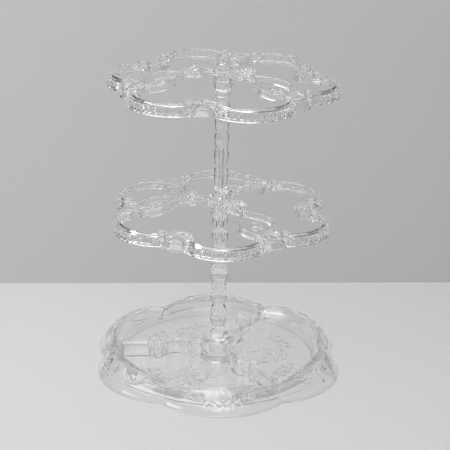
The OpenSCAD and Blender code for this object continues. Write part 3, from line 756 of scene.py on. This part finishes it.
def make_upper_post():
    """The thinner post from the middle tier to the top tier, on a long pin."""
    seat, tip = UPPER_BOTTOM, SPIGOT_TOP - 0.02
    outline = [
        (1.3, PIN_LOW), (PIN_R - 0.3, PIN_LOW), (PIN_R, PIN_LOW + 0.4), (PIN_R, seat + SEAT_GAP),
        (POST_FOOT_R - 0.3, seat + SEAT_GAP), (POST_FOOT_R, seat + 0.4), (POST_FOOT_R, seat + 1.5),
        (POST_FOOT_R - 0.4, seat + 1.9), (POST_FOOT_R - 1.6, seat + 2.3)]
    outline += foot_curve(seat, UPPER_FOOT_H, 2.4, UPPER_NECK_R, 3.3)
    z = seat + UPPER_FOOT_H
    for i, h in enumerate(UPPER_BEADS):
        outline += bead(z, h, UPPER_NECK_R, UPPER_BEAD_R, 0.5 if i == 0 else 0.66)
        z += h
    for r, t in ((5.5, 0), (6.3, 0.1), (6.5, 0.18), (6.3, 0.26), (7.3, 0.3), (7.6, 0.38), (7.5, 0.46),
                 (6.5, 0.52), (6.4, 0.6), (7.6, 0.66), (7.9, 0.74), (7.9, 0.96), (7.7, 0.998)):
        outline.append((r, z + COLLARS_H * t))
    outline += [
        (SPIGOT_R, UPPER_SHOULDER - SEAT_GAP), (SPIGOT_R, SPIGOT_TOP - 0.5), (SPIGOT_R - 0.4, tip),
        (0.4, tip)]
    core_top = seat + UPPER_FOOT_H + UPPER_BEADS[0] + UPPER_BEADS[1] - 1
    core = [(CORE_R, core_top - 1.5), (CORE_R - 0.2, core_top - 0.4), (0.3, core_top)]
    ring = np.vstack([[(0.3, tip)], rounded(outline)[::-1], core])
    post = new_object("upper_post_turning", revolve(ring, 64))
    return finished(post, POST_PLASTIC, "upper_post", 50)


# Tiers

def wall_r(z):
    """Outer radius of the leaning band of a big lobe."""
    return LOBE_R - LEAN * (z - BAND_LOW)


def radial(a):
    """The level way out at an angle in degrees."""
    return np.array([math.cos(math.radians(a)), math.sin(math.radians(a)), 0.0])


def rail(half, low, high, slope):
    """Section of a rail: a flat top with a wide sloping face along its outer edge."""
    outer = [(half, low), (half, high - slope), (half - slope * 1.05, high)]
    return soft([(-half, low)] + outer + [(-half + 0.3, high), (-half, high - 0.3)], 0.1)


def big_lobe():
    """One big lobe of the ring along +X: two rails with an openwork of uprights and stems between them."""
    at = np.array([LOBE_OFFSET, 0, 0])
    c = (LOBE_OFFSET, 0)
    half_t = BAND_T / 2
    shells = [
        bar(arc(wall_r(BAND_TOP) - 1.7, -LOBE_HALF, LOBE_HALF, 0, c, 60),
            rail(1.75, BAND_TOP - 3.0, BAND_TOP, 2.1)),
        bar(arc(wall_r(-8.8) - 1.2, -LOBE_HALF, LOBE_HALF, 0, c, 60),
            rail(1.3, BAND_LOW, BAND_LOW + 2.7, 1.5))]

    def upright(a, n):
        """Path down the band at an angle, and how near each point is to its ends."""
        zs = np.linspace(-1.4, -8.4, n)
        path = np.array([at + radial(a) * (wall_r(z) - half_t) + (0, 0, z) for z in zs])
        return path, np.abs((zs + 4.9) / 3.5)

    pitch = 2 * WINDOW_HALF / WINDOWS
    for k in range(1, WINDOWS):
        a = k * pitch - WINDOW_HALF
        path, spread = upright(a, 9)
        shells.append(sweep(path, 1.25 + 1.2 * spread ** 3, 1.0, 7, 16, radial(a)))
        shells.append(pearl(at + radial(a) * (wall_r(-4.9) - 0.3) + (0, 0, -4.9), (1.5, 1.5, 1.7)))
    for k in range(WINDOWS):
        a = (k + 0.5) * pitch - WINDOW_HALF
        path, spread = upright(a, 7)
        shells.append(sweep(path, 0.55 + 0.9 * spread ** 4, 0.7, 5, 10, radial(a)))
        shells.append(pearl(at + radial(a) * (wall_r(-7.7) - 1.1) + (0, 0, -7.0), (1.2, 1.2, 1.3)))
    for s in (-1, 1):
        mid = (LOBE_HALF + WINDOW_HALF) / 2 * s
        ends = arc(wall_r(-4.5) - half_t, WINDOW_HALF * s, LOBE_HALF * s, -4.5, c, 12)
        shells.append(sweep(ends, 0.95, 4.6, 8, 24, radial(mid) * -LEAN + (0, 0, 1)))
        out, across = radial(mid), radial(mid + 90)
        heart = at + out * (wall_r(-4.4) - 0.1) + (0, 0, -4.4)
        for p in range(5):
            q = math.radians(72 * p + 18)
            place = heart + across * 2.3 * math.cos(q) + np.array([0, 0, 2.3 * math.sin(q)])
            shells.append(pearl(place, 1.4))
        shells.append(pearl(heart + out * 0.5, 1.3))
    return shells


def plate(r0, r1, z0, z1, thick, fluted=0.0, half=90.0, flutes=1, middle=0.0):
    """Section maker for a sloping plate, with ribs that spread from its centre where fluted is above zero.
    There are that many flutes over half degrees to each side of the middle."""
    r = np.linspace(r0, r1, 14)
    t = (r - r0) / (r1 - r0)

    def section(a):
        wave = fluted * (math.cos(math.pi * flutes * (a - middle) / half) - 1) * np.clip(t * 2.5, 0, 1)
        slope = z0 + (z1 - z0) * t ** 1.6
        top = np.stack([r, slope + wave], -1)
        low = np.stack([r, slope - thick], -1)
        return np.vstack([top, low[::-1]])
    return section


def drum(x, y, r, low, high, way):
    """A waisted drum with a volute and an eye on its top."""
    waist = (
        (0.72, 0), (0.86, 0.05), (0.88, 0.14), (0.7, 0.3), (0.64, 0.5), (0.72, 0.68), (0.94, 0.82),
        (0.97, 0.9), (0.86, 0.97), (0.7, 1))
    volute = spiral((x, y), r * 0.88, r * 0.2, 180 if way > 0 else 0, 1.45 * way, high)
    return [
        revolve([(r * wide, low + (high - low) * t) for wide, t in waist], 32, (x, y, 0)),
        sweep(volute, r * 0.15, 0.9, 2.4, 14),
        pearl((x, y, high + 0.1), (r * 0.26, r * 0.26, 1.2))]


def fan_shells():
    """The fan behind a small lobe: a ribbed shell with a scalloped wall and a row of beads."""
    x = JOIN_OUT - FAN_BACK
    r = math.hypot(DRUM_BACK - FAN_BACK, JOIN_SIDE + DRUM_ASIDE) - 0.4
    half, flutes = 94, 11
    ribs = plate(1.2, r - 0.8, 0.6, -0.9, 2.2, 0.42, half, flutes, 180)

    def wall(a):
        bulge = 0.45 * math.cos(math.radians((a - 180) / half * flutes * 180))
        zs = np.linspace(-7.6, -0.6, 6)
        outer = np.stack([r + bulge - 0.1 + 0 * zs, zs], -1)
        return np.vstack([outer, (outer - (2.1, 0))[::-1]])

    shells = [
        wedge((x, 0), 180 - half, 180 + half, ribs, 100),
        wedge((x, 0), 180 - half, 180 + half, wall, 100)]
    for k in range(-5, 6):
        p = radial(180 + k * 17.1) * (r - 0.6)
        shells.append(pearl((x + p[0], p[1], -0.7), (1.45, 1.45, 1.2)))
    return shells + [pearl((x, 0, 0.7), (2.4, 2.4, 1.4))]


def leaf_seat(x):
    """The round seat with leaves where a spoke's loop meets a small lobe."""
    shells = [revolve([(8.2, -1.8), (9.0, -1.2), (9.0, 0.0), (8.2, 0.5)], 36, (x + 2, 0, 0))]
    for a in (-80, -50, -22, 22, 50, 80):
        tip = np.array([x - 2, 0, 0]) + radial(a) * 11.5
        shells.append(leaf((x - 4, 0.6 * math.copysign(1, a), 0.6), tip + (0, 0, 0.8), 1.9, 1.1, 1.1))
    return shells


def small_lobe(fan):
    """One small lobe along +X: a smooth shell plate between two drums, with a fan or a leaf seat behind."""
    r = (SMALL_BULGE ** 2 + JOIN_SIDE ** 2) / (2 * SMALL_BULGE)
    x = JOIN_OUT + SMALL_BULGE - r
    half = math.degrees(math.atan2(JOIN_SIDE, JOIN_OUT - x)) + 3
    shells = [
        wedge((x, 0), -half, half, plate(1.5, r - 1.0, 1.3, BAND_LOW + 2.4, 2.3), 60),
        sweep(arc(r - 1.2, -half, half, BAND_LOW + 1.0, (x, 0), 60), 1.2, 1.3, 2.6, 20),
        sweep(arc(r - 5.2, -half * 0.9, half * 0.9, -3.0, (x, 0), 40), 0.7, 0.75, 2.2, 12),
        pearl((x, 0, 0.6), (3.6, 3.6, 1.9)),
        sweep(arc(4.0, 0, 345, 1.2, (x, 0), 30), 0.6, 0.7, 2.2, 12)]
    for s in (-1, 1):
        place = (JOIN_OUT - DRUM_BACK, s * (JOIN_SIDE + DRUM_ASIDE))
        shells += drum(*place, DRUM_R, BAND_LOW + 2.4, 1.6, s)
    if fan:
        return shells + fan_shells()
    return shells + leaf_seat((x + (LOOP_OFFSET + LOOP_R) * math.cos(math.radians(RIB_FALL))) / 2)


def ribbon(path):
    """A tall rib with a bead along its top and bottom edges, standing on the path."""
    h, half = RIB_H, RIB_T / 2
    side = [
        (half, 0.2), (half, 1.5), (half - 0.5, 2.1), (half - 0.5, h - 2.4), (half, h - 1.8), (half, h - 1.1),
        (0.3, h)]
    return bar(path, soft(side + [(-x, z) for x, z in side[::-1]], 0.15))


def spoke():
    """One spoke along +X: crossing ribs that open into a loop with pearls, and curl back beside the hub."""
    fall = math.radians(RIB_FALL)

    def tilt(shell):
        """Sets a shell that was made lying flat on the slope of the spoke."""
        p, quads, tris = shell
        w = p[:, 2] - RIB_H
        x = p[:, 0] * math.cos(fall) + w * math.sin(fall)
        z = RIB_RISE - p[:, 0] * math.sin(fall) + w * math.cos(fall)
        return np.stack([x, p[:, 1], z], -1), quads, tris

    turn = LOOP_R / math.sqrt(2)
    cross = LOOP_OFFSET - LOOP_R * math.sqrt(2)
    flat = [ribbon(arc(LOOP_R, -136, 136, 0, (LOOP_OFFSET, 0), 72))]
    for s in (-1, 1):
        way = np.array([-1, -s, 0]) / math.sqrt(2)
        begin = np.array([LOOP_OFFSET - turn, s * turn, 0])
        line = [begin + way * d for d in np.linspace(-1.2, LOOP_R + TAIL - 2, 12)]
        centre = line[-1] + np.array([s * way[1], -s * way[0], 0]) * CURL_R
        start = math.degrees(math.atan2(line[-1][1] - centre[1], line[-1][0] - centre[0]))
        curl = spiral(centre[:2], CURL_R, 1.3, start, -1.2 * s, 0, 30)
        flat.append(ribbon(np.vstack([line, curl[1:]])))
        eye = [(1.5, 0.3), (1.5, RIB_H - 0.4), (1.1, RIB_H + 0.3)]
        flat.append(revolve(eye, 18, (centre[0], centre[1], 0)))
    stem = [(LOOP_OFFSET - 3, 0, 2.6), (LOOP_OFFSET + LOOP_R / 2, 0, 2.6), (LOOP_OFFSET + LOOP_R, 0, 2.6)]
    flat.append(sweep(stem, 0.9, 1.5, 3, 14))
    for out, y, r in ((-3.6, 0, 2.5), (2.6, 3.0, 2.1), (2.6, -3.0, 2.1)):
        x = LOOP_OFFSET + out
        flat.append(pearl((x, y, 3.4), r, 20))
        flat.append(sweep(arc(r + 0.4, 0, 345, 3.2, (x, y), 26), 0.55, 0.8, 2.2, 10))
    shells = [tilt(shell) for shell in flat]
    far = cross * math.cos(fall)
    x = np.linspace(SLEEVE_R - 1, far + 2, 14)
    top = np.interp(x, [SLEEVE_R - 1, far + 2], [SLEEVE_HIGH - 0.4, 9.0])
    low = np.interp(x, [SLEEVE_R - 1, SLEEVE_R + 5, (SLEEVE_R + 5 + far) / 2, far + 2], [1.5, 1.0, 4.0, 3.2])
    shells.append(sweep(np.stack([x, 0 * x, (top + low) / 2], -1), RIB_T / 2, (top - low) / 2, 8, 20))
    for s in (-1, 1):
        shells.append(leaf((11, s * 1.0, 6.8), (22, s * 7.5, 8.2), 2.6, 1.1, 1.2))
        shells.append(leaf((26, s * 1.0, 8.4), (33, s * 5.0, 9.6), 1.7, 1.0, 0.6))
    return shells


def crown():
    """Leaves round the hub, between the spokes."""
    shells = []
    for a in (0, 32, -32, 120, 88, 152, 240, 208, 272):
        reach = 17.8 if a % 120 == 0 else 16.5
        shells.append(turned(leaf((8.2, 0, 3.0), (reach, 0, 6.2), 2.6, 1.1, 1.2), a))
        shells.append(turned(pearl((reach, 0, 6.3), 1.2), a))
    return shells


def sleeve(capped):
    """The hub sleeve, with a stepped cap on the top tier."""
    low, top = SLEEVE_LOW, SLEEVE_HIGH
    outer = [
        (SOCKET_R, low), (8.6, low), (9.4, low + 0.4), (SLEEVE_R, low + 1.2), (9.2, low + 2.2),
        (8.9, low + 3.0), (8.9, 5.6), (9.3, 6.4), (SLEEVE_R, 7.4), (SLEEVE_R, 9.0), (9.2, 9.8), (8.6, top)]
    if not capped:
        return revolve(outer + [(SOCKET_R, top)], 72, closed=True)
    roof = top - CAP_T
    cap = [
        (7.0, top + 0.1), (7.0, top + 1.2), (6.5, top + 1.45), (4.6, top + 1.5), (4.4, top + 2.5),
        (3.9, top + 2.8), (0.4, top + 2.8)]
    return revolve([(0.4, roof), (SOCKET_R, roof)] + outer + cap, 72)


def make_tiers():
    """Both tiers, from parts that are each fused once and then repeated."""
    lobe = fused("big_lobe", big_lobe())
    fan = fused("fan_lobe", small_lobe(True))
    arm = fused("spoke", small_lobe(False) + spoke())
    leaves = fused("crown", crown())
    for name, node, datum, turn, capped in (
            ("middle_tier_moulding", "middle_tier", MIDDLE_DATUM, 0.0, False),
            ("top_tier_moulding", "top_tier", TOP_DATUM, TOP_TURN, True)):
        hub = new_object(name, turned(sleeve(capped), 0, (0, 0, datum)))
        copies = [(leaves, 0)] + [(lobe, a) for a in range(30, 360, 60)]
        copies += [(fan, a) for a in (0, 120, 240)] + [(arm, a) for a in (60, 180, 300)]
        tier = fused(name, [hub] + [placed(part, a + turn, (0, 0, datum)) for part, a in copies])
        finished(thinned(tier, TIER_TRIANGLES), TIER_PLASTIC, node, 45)
    for part in (lobe, fan, arm, leaves):
        bpy.data.objects.remove(part)


make_tray()
make_lower_post()
make_upper_post()
make_tiers()


# Stage, lights and camera

WALL_Y = 178.0
FLOOR_Z, FLOOR_HALF = -0.05, 3500
WALL_LEFT, WALL_RIGHT, WALL_TOP = -420, 900, 1800
CARD_FRONT, CARD_BACK, CARD_TOP = 40, 174, 520


def paper(name, grey):
    """Plain matt paper."""
    mat = bpy.data.materials.new(name)
    mat.use_nodes = True
    body = mat.node_tree.nodes["Principled BSDF"]
    body.inputs["Base Color"].default_value = (grey, grey, grey, 1)
    body.inputs["Roughness"].default_value = 0.9
    body.inputs["Specular IOR Level"].default_value = 0.2
    return mat


def clear_from_behind(mat):
    """Lets the camera look through the back of a sheet."""
    tree = mat.node_tree
    geometry = tree.nodes.new("ShaderNodeNewGeometry")
    through = tree.nodes.new("ShaderNodeBsdfTransparent")
    mix = tree.nodes.new("ShaderNodeMixShader")
    tree.links.new(geometry.outputs["Backfacing"], mix.inputs["Fac"])
    tree.links.new(tree.nodes["Principled BSDF"].outputs["BSDF"], mix.inputs[1])
    tree.links.new(through.outputs["BSDF"], mix.inputs[2])
    tree.links.new(mix.outputs["Shader"], tree.nodes["Material Output"].inputs["Surface"])
    return mat


def sheet(name, corners, material):
    """A flat sheet of the stage."""
    mesh = bpy.data.meshes.new(name)
    mesh.from_pydata([tuple(v * MM for v in c) for c in corners], [], [(0, 1, 2, 3)])
    obj = bpy.data.objects.new(name, mesh)
    bpy.context.scene.collection.objects.link(obj)
    mesh.materials.append(material)
    return obj


def upright_sheet(name, start, end, low, high, material):
    """An upright sheet over the line from start to end on the floor."""
    return sheet(name, [(*start, low), (*end, low), (*end, high), (*start, high)], material)


def make_stage():
    """Floor and wall in pale paper, with a dark card to each side that only clear plastic shows."""
    half = FLOOR_HALF
    square = [(-half, -half, FLOOR_Z), (half, -half, FLOOR_Z), (half, half, FLOOR_Z), (-half, half, FLOOR_Z)]
    sheet("floor", square, paper("floor_paper", 0.785))
    wall_paper = clear_from_behind(paper("backdrop_paper", 0.64))
    upright_sheet("backdrop", (WALL_LEFT, WALL_Y), (WALL_RIGHT, WALL_Y), FLOOR_Z, WALL_TOP, wall_paper)
    card_paper = paper("card_paper", 0.03)
    for name, x in (("left_card", -236), ("right_card", 256)):
        card = upright_sheet(name, (x, CARD_FRONT), (x, CARD_BACK), 0, CARD_TOP, card_paper)
        card.visible_camera = False
        card.visible_diffuse = False
        card.visible_shadow = False


def area_light(name, place, target, size, power):
    """A softbox at place that faces target, in millimetres and watts."""
    lamp = bpy.data.lights.new(name, "AREA")
    lamp.shape = "RECTANGLE"
    lamp.size, lamp.size_y = size[0] * MM, size[1] * MM
    lamp.energy = power
    obj = bpy.data.objects.new(name, lamp)
    place, target = Vector(place) * MM, Vector(target) * MM
    obj.location = place
    obj.rotation_euler = (target - place).to_track_quat("-Z", "Y").to_euler()
    bpy.context.scene.collection.objects.link(obj)
    return obj


def make_lights():
    """A large softbox overhead, weaker ones from the left and the front, and a dim grey surround."""
    area_light("overhead_softbox", (-370, -380, 1500), (0, 0, 100), (1700, 1000), 14.6)
    side_light = area_light("left_softbox", (-1500, -500, 450), (0, 0, 150), (700, 700), 6.4)
    side_light.visible_glossy = False
    area_light("front_fill", (300, -1700, 900), (0, 0, 150), (900, 600), 3.0)
    world = bpy.data.worlds.new("studio")
    world.use_nodes = True
    world.node_tree.nodes["Background"].inputs["Color"].default_value = (0.5, 0.5, 0.5, 1)
    world.node_tree.nodes["Background"].inputs["Strength"].default_value = 0.41
    bpy.context.scene.world = world


# The camera: picture width and focal length in pixels, place in millimetres, yaw and roll in radians
PHOTO_WIDTH, FOCAL = 450, 1442.85
CAMERA_PLACE, CAMERA_FORWARD = (4.655, -1259.124, 634.179), (0, 0.93034, -0.36670)
CAMERA_YAW, CAMERA_ROLL = math.radians(-3.2), 0.021


def make_camera():
    """The camera that the photograph was taken with, as fitted to it."""
    data = bpy.data.cameras.new("camera")
    data.sensor_width = 36
    data.lens = FOCAL / PHOTO_WIDTH * data.sensor_width
    data.clip_start, data.clip_end = 0.05, 20
    camera = bpy.data.objects.new("camera", data)
    bpy.context.scene.collection.objects.link(camera)
    yaw = Matrix.Rotation(CAMERA_YAW, 3, "Z")
    forward = yaw @ Vector(CAMERA_FORWARD)
    right = forward.cross(Vector((0, 0, 1))).normalized()
    up = right.cross(forward)
    across = right * math.cos(CAMERA_ROLL) + up * math.sin(CAMERA_ROLL)
    upward = up * math.cos(CAMERA_ROLL) - right * math.sin(CAMERA_ROLL)
    turn = Matrix((across, upward, -forward)).transposed().to_4x4()
    camera.matrix_world = Matrix.Translation(yaw @ Vector(CAMERA_PLACE) * MM) @ turn
    bpy.context.scene.camera = camera


make_stage()
make_lights()
make_camera()
bpy.context.scene.view_settings.view_transform = "Standard"

# Rays pass through many walls of clear plastic, so they may bounce often
BOUNCES = 72
cycles = bpy.context.scene.cycles
cycles.max_bounces = BOUNCES
cycles.transmission_bounces = BOUNCES
cycles.glossy_bounces = BOUNCES
cycles.transparent_max_bounces = BOUNCES
cycles.caustics_refractive = False
cycles.caustics_reflective = False
